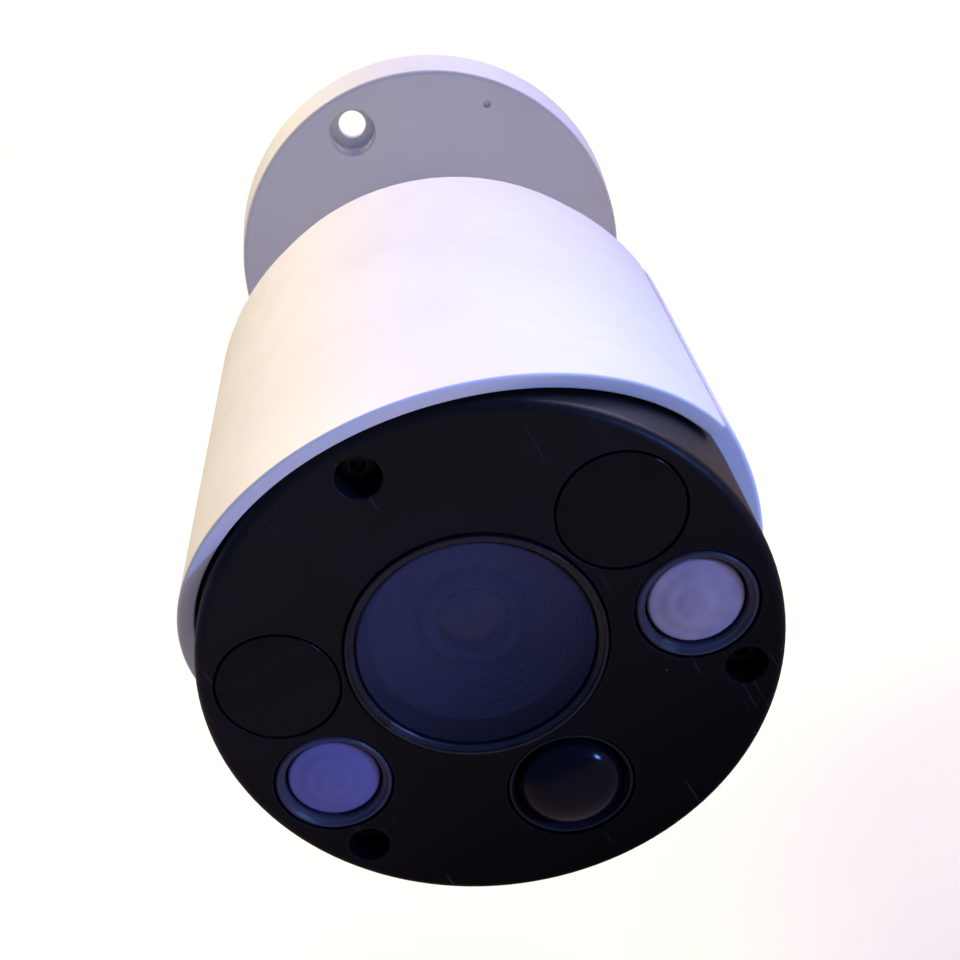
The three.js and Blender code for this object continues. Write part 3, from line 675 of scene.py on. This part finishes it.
def socket_screw(node, head_r, head_length, to_front):
    """A cap screw with a rounded head and a hexagon socket."""
    at = disc(node)
    length = at.length
    made = turned("screw", rounded([
        (0, 0), (head_r, 0, 0.35), (head_r, head_length, 0.1), (SHANK_R, head_length),
        (SHANK_R, length, 0.3), (0, length)], 3), at, SMALL)
    hexagon = prism("socket", polygon(at.x, at.z, head_r * SOCKET_SHARE, 6),
                    at.front - THROUGH, at.front + head_length * SOCKET_DEPTH)
    carve(made, hexagon)
    if not to_front:
        mirrored_depth(made, (at.front + at.rear) / 2)
    return dress(made, node)


for name, _ in TRIPLE:
    socket_screw("face_screw_" + name, head_r=2.4, head_length=2.2, to_front=True)
    socket_screw("rear_screw_" + name, head_r=2.6, head_length=2.0, to_front=False)


# ---------------------------------------------------------------- lens
def lens_parts():
    inner = WINDOW.r + 0.3
    dress(turned("ring", rounded([
        (RING.r, RING.length), (RING.r, 0, 0.12), (RING.r - 0.45, 0, 0.12),
        (RING.r - 0.52, 0.3, 0.08), (inner + 0.25, 0.5, 0.12), (inner, 0.7, 0.1),
        (inner, RING.length)], 3), RING, FINE), "lens_trim_ring", 25)
    dress(turned("window", rounded([
        (0, 0), (WINDOW.r, 0, 0.25), (WINDOW.r, WINDOW.length, 0.15), (0, WINDOW.length)], 4),
        WINDOW, FINE), "lens_window")

    baffle = disc("lens_baffle")
    profile = [(baffle.r, baffle.length), (baffle.r, 0)]
    wall = 0.8
    bore_r = 7.5
    steps = 6
    drop = 3.6 / steps
    width = (baffle.r - wall - bore_r) / steps
    taper = 0.25  # share of a step's width that its riser leans
    for i in range(steps):
        radius = baffle.r - wall - i * width
        profile += [(radius, i * drop, 0.08), (radius - taper * width, (i + 1) * drop, 0.08)]
    profile += [(bore_r, baffle.length)]
    dress(turned("baffle", rounded(profile, 3), baffle, MEDIUM), "lens_baffle", 25)

    barrel = disc("lens_barrel")
    dress(turned("barrel", rounded([
        (0, 1.6), (5.15, 1.6), (5.15, 0.35, 0.1), (5.6, 0, 0.1), (6.5, 0, 0.15), (barrel.r, 0.6, 0.1),
        (barrel.r, barrel.length, 0.2), (0, barrel.length)], 3), barrel, MEDIUM), "lens_barrel", 25)

    element = disc("lens_front_element")
    dome = []
    dome_rise = 1.5
    dome_steps = 12
    for i in range(dome_steps + 1):
        radius = element.r * i / dome_steps
        dome.append((radius, dome_rise * (radius / element.r) ** 2))
    dome += [(element.r, element.length), (0, element.length)]
    dress(turned("element", dome, element, MEDIUM), "lens_front_element")


lens_parts()


# ---------------------------------------------------------------- lights and motion sensor
def spotlight(side):
    bezel = disc("spot_bezel_" + side)
    dress(turned("bezel", rounded([
        (bezel.r, bezel.length), (bezel.r, 0.3, 0.1), (bezel.r - 0.25, 0, 0.1),
        (bezel.r - 0.5, 0, 0.1), (bezel.r - 0.85, 0.5, 0.1), (bezel.r - 1.1, 0.55, 0.08),
        (bezel.r - 1.3, 1.0, 0.1), (bezel.r - 1.3, bezel.length)], 3), bezel, MEDIUM),
        "spot_bezel_" + side, 25)
    lens = disc("spot_lens_" + side)
    profile = []
    count = 60
    crown_rise = 0.75
    ripple_height = 0.05
    ripples_per_mm = 2.9  # radians
    calm_r = 1.5  # the ripples fade in up to this radius
    for i in range(count + 1):
        radius = (lens.r - 0.25) * i / count
        crown = crown_rise * (radius / lens.r) ** 2
        ripple = ripple_height * math.sin(radius * ripples_per_mm) * min(1.0, radius / calm_r)
        profile.append((radius, ripple_height + crown + ripple))
    profile += [(lens.r, 1.05), (lens.r, 4.4), (3.2, lens.length), (0, lens.length)]
    dress(turned("lens", profile, lens, MEDIUM), "spot_lens_" + side, 50)


def infrared(side):
    window = disc("ir_window_" + side)
    dress(turned("window", rounded([
        (0, 0), (window.r, 0, 0.2), (window.r, window.length, 0.1), (0, window.length)], 4),
        window, MEDIUM), "ir_window_" + side)


def motion_sensor():
    ring = disc("pir_ring")
    dome = disc("pir_dome")
    dress(turned("ring", rounded([
        (ring.r, ring.length), (ring.r, 0, 0.12), (ring.r - 0.4, 0, 0.12),
        (dome.r + 0.35, 1.2, 0.3), (dome.r + 0.35, ring.length)], 4), ring, MEDIUM),
        "pir_ring", 25)
    rise = 4.2
    thick = 0.8
    angles = [math.pi / 2 * i / 20 for i in range(21)]
    outside = [(dome.r * math.sin(angle), rise - rise * math.cos(angle)) for angle in angles]
    inside = [((dome.r - thick) * math.sin(angle), rise - (rise - thick) * math.cos(angle))
              for angle in reversed(angles)]
    profile = outside + [(dome.r, dome.length), (dome.r - thick, dome.length)] + inside
    dress(turned("dome", profile, dome, MEDIUM), "pir_dome", 50)


for side in SIDES:
    spotlight(side)
    infrared(side)
motion_sensor()


# ---------------------------------------------------------------- housing and hood
HOOD_WALL = 2.3
HOOD_RAKE = 0.52  # how far the front edge goes back for each millimetre down
HOOD_HALF_ANGLE = math.asin((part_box("sun_hood")[1].x / MM) / BODY_R)
HOUSING_INNER = BODY_R - 6
SEAT_GAP = 0.3  # under the hood
SEAT_GAP_ANGLE = 0.03  # radians, at each side of the hood
SEAT_ABOVE = 4  # how far the seat's cutter stands out of the body


def arch(inner, outer, half_angle, steps):
    """Outline in x and z of a piece of an annulus that spans the top."""
    angles = [half_angle * (2 * i / steps - 1) for i in range(steps + 1)]
    return ([(outer * math.sin(a), outer * math.cos(a)) for a in angles]
            + [(inner * math.sin(a), inner * math.cos(a)) for a in reversed(angles)])


def body_housing():
    at = SimpleNamespace(x=0, z=0, front=HOUSING.front)
    made = turned("housing", rounded([
        (HOUSING_INNER, HOUSING.length), (HOUSING_INNER, 0), (BODY_R, 0, 0.7),
        (BODY_R, HOUSING.length)], 5), at, FINE)
    outline = arch(BODY_R - HOOD_WALL - SEAT_GAP, BODY_R + SEAT_ABOVE,
                   HOOD_HALF_ANGLE + SEAT_GAP_ANGLE, MEDIUM)
    seat = prism("seat", outline, HOUSING.front - THROUGH, HOUSING.rear + THROUGH)
    return carve(made, seat)


def sun_hood():
    """The hood as cross-sections swept round the top, its lower edges and corners rounded."""
    edge = 0.35
    corner = 4.0
    edge_steps = 4
    corner_steps = 12
    front, rear = HOOD.front, HOOD.rear
    slope = HOOD_RAKE * math.sin(HOOD_HALF_ANGLE)  # of the front edge, along the hood's arc
    end = HOOD_HALF_ANGLE * BODY_R
    stations = [(-end + edge * (1 - math.cos(math.pi / 2 * i / edge_steps)),
                 edge * (1 - math.sin(math.pi / 2 * i / edge_steps))) for i in range(edge_steps + 1)]
    for i in range(1, corner_steps + 1):  # the rounded corner
        share = 1 - math.cos(math.pi / 2 * i / corner_steps)
        stations.append((-end + edge + (corner - edge) * share, 0))
    steps = 96
    start = stations[-1][0]
    for i in range(1, steps // 2 + 1):
        stations.append((start * (1 - 2 * i / steps), 0))
    stations += [(-along, inset) for along, inset in reversed(stations[:-1])]

    def front_edge(radius, angle, near):
        """y of the raked edge, with the corner rounded at its foot."""
        y = front + HOOD_RAKE * (BODY_R - radius * math.cos(angle))
        hypotenuse = math.hypot(1, slope)
        if near < corner * (1 - slope / hypotenuse):
            bulge = math.sqrt(corner ** 2 - (corner - near) ** 2)
            y += corner * (hypotenuse - slope) + slope * near - bulge
        return y

    bm = bmesh.new()
    sections = []
    for along, inset in stations:
        angle = along / BODY_R
        near = end - abs(along)
        low_r, high_r = BODY_R - HOOD_WALL + inset, BODY_R - inset
        low_front, high_front = (front_edge(radius, angle, near) + inset for radius in (low_r, high_r))
        high_y = rear - inset
        bend = max(edge - inset, 0.02)
        middle = ((low_r + high_r) / 2, (low_front + high_front) / 2)
        outline = rounded([
            middle, (high_r, high_front, bend), (high_r, high_y, bend), (low_r, high_y, bend),
            (low_r, low_front, bend), middle], 4)[:-1]
        sections.append([bm.verts.new((radius * math.sin(angle) * MM, y * MM,
                                       radius * math.cos(angle) * MM)) for radius, y in outline])
    count = len(sections[0])
    for one, two in zip(sections, sections[1:]):
        for i in range(count):
            j = (i + 1) % count
            bm.faces.new((one[i], one[j], two[j], two[i]))
    bm.faces.new(sections[0])
    bm.faces.new(sections[-1])
    return from_bmesh("hood", bm)


dress(body_housing(), "body_housing")
dress(sun_hood(), "sun_hood", 50)


def plain_ring(node, wall, edge=0.15, steps=FINE):
    at = disc(node)
    inner = at.r - wall
    dress(turned(node, rounded([
        (inner, at.length), (inner, 0), (at.r, 0, edge), (at.r, at.length)], 3), at, steps), node)


plain_ring("front_gasket", 0.8)
plain_ring("rear_gasket", 2.2)
plain_ring("base_gasket", 2.6)
plain_ring("pan_washer", 4.0, 0.2, SMALL)


# ---------------------------------------------------------------- rear cover and collar
def rear_cover():
    """Domed cover: a smooth crown, three screw wells, the gland's hole and the collar's boss."""
    boss_r = 13.0
    boss_rise = 2.0
    crown = COVER.length - boss_rise
    rim_r = 40.4
    flat_r = 18  # the dome is flat inside this radius
    edge = 3.2  # height of the rim below the dome
    steps = 24
    behind = 20  # where the cutters start, clear of the dome
    seat = 7.6  # where the screws' heads rest
    outside = [(40.6, 0), (rim_r, edge)]
    for i in range(1, steps + 1):
        angle = math.pi / 2 * i / steps
        outside.append((flat_r + (rim_r - flat_r) * math.cos(angle) ** 0.8,
                        edge + (crown - edge) * math.sin(angle)))
    outside += rounded([(flat_r, crown), (boss_r, crown, 0.4), (boss_r, COVER.length, 0.4),
                        (0, COVER.length)], 4)[1:]
    inside = [(0, 13.4), (25, 13.0), (29.6, 10.2), (34.4, 5.9), (35.6, 0)]
    at = SimpleNamespace(x=0, z=0)
    made = turned("cover", outside + inside, at, FINE, COVER.front)
    cutters = []
    columns = []
    for name, _ in TRIPLE:
        screw = disc("rear_screw_" + name)
        columns.append(column(screw, 4.2, 0.2, 9, COVER.front))
        well = drill(screw.x, screw.z, ((3.0, behind - seat), (SCREW_HOLE_R, 30)), 0)
        cutters.append(mirrored_depth(well, (COVER.front + behind) / 2))
    gland = disc("cable_gland")
    columns.append(column(gland, 7.6, 10.1, 15.5, COVER.front))
    hole = drill(gland.x, gland.z, ((4.2, 25),), 0)
    cutters.append(mirrored_depth(hole, (COVER.front + behind) / 2))
    return carve(weld(made, *columns), *cutters)


def roll_collar():
    """Grip ring: a stepped bore for the lug's flange, and eight scalloped grips."""
    neck_r = 9.6
    flange_r = 13.5
    boss_r = 13.3
    boss_depth = 1.4
    shoulder = 5.2  # where the flange's room ends
    made = turned("collar", rounded([
        (neck_r, COLLAR.length), (neck_r, shoulder), (flange_r, shoulder), (flange_r, boss_depth),
        (boss_r, boss_depth), (boss_r, 0), (COLLAR.r, 0, 0.3), (COLLAR.r, COLLAR.length)], 5),
        COLLAR, FINE)
    grips = 8
    scallop_r = 1.8
    cutters = []
    for i in range(grips):
        x, z = around(COLLAR.r + scallop_r / 2, (i + 0.5) * 360 / grips)
        cutters.append(drill(x, z, ((scallop_r, 20),), COLLAR.front - 2))
    return carve(made, *cutters)


dress(rear_cover(), "rear_cover")
dress(roll_collar(), "roll_collar")


def cable_gland():
    """Rubber gland: a lip on the cover, a soft rib and a plain end round the cable's way out."""
    at = disc("cable_gland")
    bore = 3.0
    seat = 11.5
    return turned("gland", rounded([
        (bore, at.length), (bore, 0), (3.9, 0, 0.3), (3.9, seat, 0.1), (6.0, seat, 0.3),
        (6.0, seat + 1.2, 0.3), (5.3, seat + 1.5, 0.2), (5.5, seat + 2.3, 0.4), (4.7, seat + 2.7, 0.2),
        (4.7, at.length)], 4), at, SMALL)


dress(cable_gland(), "cable_gland")


# ---------------------------------------------------------------- bracket
EYE_R = 10.0
PIVOT_HOLE_R = 2.9
PAN_HOLE_R = 3.0
CHEEK_GAP = 0.3  # between the tongue and each cheek
TONGUE = 4.5
FORK_OUT = 11.0


def cheek_outline(root, half_height, waist=()):
    """Outline in y and z of a lug: an eye round the pivot that widens towards its root."""
    side = -1 if root < PIVOT_Y else 1
    outline = [(root, -half_height)] + [(y, -z) for y, z in waist] + [(PIVOT_Y, -EYE_R)]
    for i in range(1, 32):
        angle = math.pi * i / 32
        outline.append((PIVOT_Y - side * EYE_R * math.sin(angle), -EYE_R * math.cos(angle)))
    outline += [(PIVOT_Y, EYE_R)] + [(y, z) for y, z in reversed(waist)] + [(root, half_height)]
    return outline


def cross_pin(name, radius, low, high, corners=SMALL):
    """A rod along X through the tilt pivot."""
    return prism(name, polygon(PIVOT_Y, 0, radius, corners), low, high, "x")


def tilt_lug():
    flange_r = 13.2
    flange = 2.9
    neck = 9.2
    end = 8.8
    made = turned("flange", rounded([
        (0, 0), (flange_r, 0, 0.3), (flange_r, flange, 0.3), (neck, flange), (neck, 7.0, 1.2),
        (7.5, end, 1.0), (0, end)], 4), LUG, FINE)
    tongue = prism("tongue", cheek_outline(LUG.front + 6.9, 7.0), -TONGUE, TONGUE, "x")
    made = weld(made, tongue)
    carve(made, cross_pin("hole", PIVOT_HOLE_R, -TONGUE - THROUGH, TONGUE + THROUGH))
    return soften(made, 0.28, 5)


def bracket_arm():
    foot_length = 7.7
    foot_front = ARM.rear - foot_length
    root = foot_front + 1
    outline = cheek_outline(root, 13, ((PIVOT_Y + 16, 12),))
    made = prism("fork", outline, -FORK_OUT, FORK_OUT, "x")
    slot_end = PIVOT_Y + EYE_R + 0.8
    slot = prism("slot", [(PIVOT_Y - 20, -20), (slot_end, -20), (slot_end, 20), (PIVOT_Y - 20, 20)],
                 -TONGUE - CHEEK_GAP, TONGUE + CHEEK_GAP, "x")
    made = carve(made, slot)
    foot = turned("foot", rounded([
        (0, 0), (ARM.r, 0, 1.8), (ARM.r, foot_length, 0.3), (0, foot_length)], 6), ARM, FINE, foot_front)
    made = weld(made, foot)
    mouth = ARM.rear + 4.8  # the pan bolt's hole is cut from here
    pan_hole = mirrored_depth(drill(0, 0, ((PAN_HOLE_R, 10),), 0), mouth / 2)
    pivot_hole = cross_pin("hole", PIVOT_HOLE_R, -FORK_OUT - THROUGH, FORK_OUT + THROUGH)
    carve(made, pivot_hole, pan_hole)
    return soften(made, 0.32, 5)


def tilt_bolt():
    low, high = (corner.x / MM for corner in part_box("tilt_bolt"))
    head = FORK_OUT + 0.3
    made = cross_pin("bolt", 2.5, low, head + 1)
    made = weld(made, cross_pin("head", 4.8, head, high, MEDIUM))
    carve(made, cross_pin("socket", 2.3, high - 2, high + THROUGH, 6))
    return bevelled(made, 0.3)


def tilt_nut():
    low, high = (corner.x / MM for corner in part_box("tilt_nut"))
    made = cross_pin("nut", 5.2, low, high, 6)
    carve(made, cross_pin("hole", 2.75, low - THROUGH, high + THROUGH, MEDIUM))
    return bevelled(made, 0.4)


def pan_bolt():
    at = disc("pan_bolt")
    head = 3.2
    made = turned("bolt", rounded([
        (0, 0), (2.7, 0, 0.3), (2.7, at.length - head), (5.0, at.length - head, 0.15),
        (5.0, at.length, 0.4), (0, at.length)], 4), at, SMALL)
    socket = prism("socket", polygon(0, 0, 2.2, 6), at.rear - 1.6, at.rear + THROUGH)
    return carve(made, socket)


dress(tilt_lug(), "tilt_lug", 60)
dress(bracket_arm(), "bracket_arm", 60)
dress(tilt_bolt(), "tilt_bolt")
dress(tilt_nut(), "tilt_nut")
dress(pan_bolt(), "pan_bolt")


# ---------------------------------------------------------------- wall base
def base_plate():
    boss_r = 16.0
    boss_rise = 4.0
    front_r = BASE.r - 0.8
    screw_circle = 34.6
    dimple_circle, dimple_angle = 37.7, 48.6
    recess_r, recess_depth = 8.6, 6.7
    groove_in, groove_out, groove_depth = 13, 26, 6.5
    floor = 9  # depth of the relief's floor, behind the plate's front
    made = turned("base", rounded([
        (0, 0), (boss_r, 0, 0.8), (boss_r, boss_rise, 0.6), (front_r, boss_rise, 1.0),
        (BASE.r, BASE.length, 0.3), (0, BASE.length)], 6), BASE, FINE)
    plate_front = BASE.front + boss_rise
    cutters = []
    for _, degrees in TRIPLE:
        x, z = around(screw_circle, degrees)
        cutters.append(drill(x, z, ((5.0, 7.0), (3.0, 20)), plate_front, 0.35, MEDIUM))
        relief = drill(x, z, ((5.6, BASE.length - boss_rise - floor + THROUGH),), 0)
        cutters.append(mirrored_depth(relief, (BASE.rear + THROUGH) / 2))
    x, z = around(dimple_circle, dimple_angle)
    cutters.append(drill(x, z, ((0.8, 1.2),), plate_front, 0.2))
    cutters.append(drill(0, 0, ((PAN_HOLE_R, 30),), BASE.front, 0.3))
    recess = drill(0, 0, ((recess_r, recess_depth + THROUGH),), 0, 0, MEDIUM)
    cutters.append(mirrored_depth(recess, (BASE.rear + THROUGH) / 2))
    groove = turned("groove", [(groove_in, -groove_depth), (groove_out, -groove_depth),
                               (groove_out, THROUGH), (groove_in, THROUGH)],
                    BASE, MEDIUM, BASE.rear)
    return carve(made, groove, *cutters)


dress(base_plate(), "base_plate")


# ---------------------------------------------------------------- stage, lights and camera
FLOOR_BELOW = 0.105  # metres under the base's lowest point, clear of every pose
FLOOR_R = 12


def stage():
    bm = bmesh.new()
    bmesh.ops.create_circle(bm, cap_ends=True, segments=96, radius=FLOOR_R)
    floor = from_bmesh("floor", bm)
    floor.location.z = CAD_LOW.z - FLOOR_BELOW
    material = bpy.data.materials.new("pale floor")
    material.use_nodes = True
    nodes = material.node_tree.nodes
    shader = nodes["Principled BSDF"]
    path = nodes.new("ShaderNodeLightPath")
    shade = nodes.new("ShaderNodeMix")
    shade.data_type = "RGBA"
    shade.inputs["A"].default_value = (0.37, 0.33, 0.33, 1)  # what the object is lit by
    shade.inputs["B"].default_value = (0.96, 0.98, 0.94, 1)  # what is seen
    links = material.node_tree.links
    links.new(path.outputs["Is Camera Ray"], shade.inputs["Factor"])
    links.new(shade.outputs["Result"], shader.inputs["Base Color"])
    shader.inputs["Roughness"].default_value = 0.9
    shader.inputs["Specular IOR Level"].default_value = 0.1
    floor.data.materials.append(material)

    world = bpy.data.worlds.new("studio")
    bpy.context.scene.world = world
    world.use_nodes = True
    tree = world.node_tree
    light = tree.nodes["Background"]  # what the object is lit by
    light.inputs["Color"].default_value = (0.29, 0.44, 1.0, 1)
    light.inputs["Strength"].default_value = 0.42
    sky = tree.nodes.new("ShaderNodeBackground")  # what is seen
    sky.inputs["Color"].default_value = (0.93, 0.93, 0.95, 1)
    path = tree.nodes.new("ShaderNodeLightPath")
    mix = tree.nodes.new("ShaderNodeMixShader")
    tree.links.new(path.outputs["Is Camera Ray"], mix.inputs["Fac"])
    tree.links.new(light.outputs["Background"], mix.inputs[1])
    tree.links.new(sky.outputs["Background"], mix.inputs[2])
    tree.links.new(mix.outputs["Shader"], tree.nodes["World Output"].inputs["Surface"])


def aimed(made, source, target):
    made.location = source
    made.rotation_mode = "QUATERNION"
    made.rotation_quaternion = (target - source).to_track_quat("-Z", "Y")
    bpy.context.scene.collection.objects.link(made)
    return made


def sun(name, source, strength, color, angle):
    data = bpy.data.lights.new(name, "SUN")
    data.energy = strength
    data.color = color
    data.angle = math.radians(angle)
    return aimed(bpy.data.objects.new(name, data), Vector(source), Vector((0, 0, 0)))


def pencil(name, source, target, radius, watts, color, cone):
    """A small lamp with a narrow cone, part of which passes its target and lights the face."""
    data = bpy.data.lights.new(name, "SPOT")
    data.shadow_soft_size = radius
    data.energy = watts
    data.color = color
    data.spot_size = math.radians(cone)
    data.spot_blend = 0.6
    return aimed(bpy.data.objects.new(name, data), Vector(source), Vector(target))


SUN_BEHIND = 0.7  # how far back the suns stand, as a share of their distance from the axis
SUN_WIDTH = 50  # degrees, for soft shadows
WARM = (1.0, 0.77, 0.27)
COOL = (0.68, 0.62, 1.0)
BLUE = (0.12, 0.30, 1.0)
DOME_LAMP_FROM = Vector((0.87, -0.50, -0.02)) * 0.3  # metres, from the motion sensor's dome


def over_the_hood(degrees):
    """Direction of a light behind and above the camera, tipped to its right by this angle."""
    x, z = around(1, degrees)
    return Vector((x, SUN_BEHIND, z))


def lights():
    sun("warm key", over_the_hood(-25), strength=3.5, color=WARM, angle=SUN_WIDTH)
    sun("cool key", over_the_hood(60), strength=3.1, color=COOL, angle=SUN_WIDTH)
    dome = Vector((0, CAP.front, disc("pir_dome").z)) * MM
    pencil("dome light", dome + DOME_LAMP_FROM, dome, radius=0.09, watts=60.0, color=BLUE, cone=9)


CAMERA_FROM_FACE = Vector((40.31, -149.10, 101.04)) * MM  # from the middle of the cap's face
CAMERA_AZIMUTH = 14.20  # degrees to the object's right
CAMERA_ELEVATION = 28.18
CAMERA_ROLL = -34.30
LENS_MM = 52.48
SENSOR_MM = 36
CAMERA_SHIFT = (0.042, 0.084)


def view_camera():
    data = bpy.data.cameras.new("view")
    data.sensor_width = SENSOR_MM
    data.lens = LENS_MM
    data.shift_x, data.shift_y = CAMERA_SHIFT
    data.clip_start = 0.01
    data.clip_end = 100
    camera = bpy.data.objects.new("view", data)
    azimuth, elevation = math.radians(CAMERA_AZIMUTH), math.radians(CAMERA_ELEVATION)
    back = Vector((math.sin(azimuth) * math.cos(elevation), -math.cos(azimuth) * math.cos(elevation),
                   math.sin(elevation)))
    source = Vector((0, CAP.front * MM, 0)) + CAMERA_FROM_FACE
    aimed(camera, source, source - back)
    camera.rotation_quaternion @= Quaternion((0, 0, 1), math.radians(CAMERA_ROLL))
    bpy.context.scene.camera = camera


stage()
lights()
view_camera()
bpy.context.scene.view_settings.view_transform = "Standard"
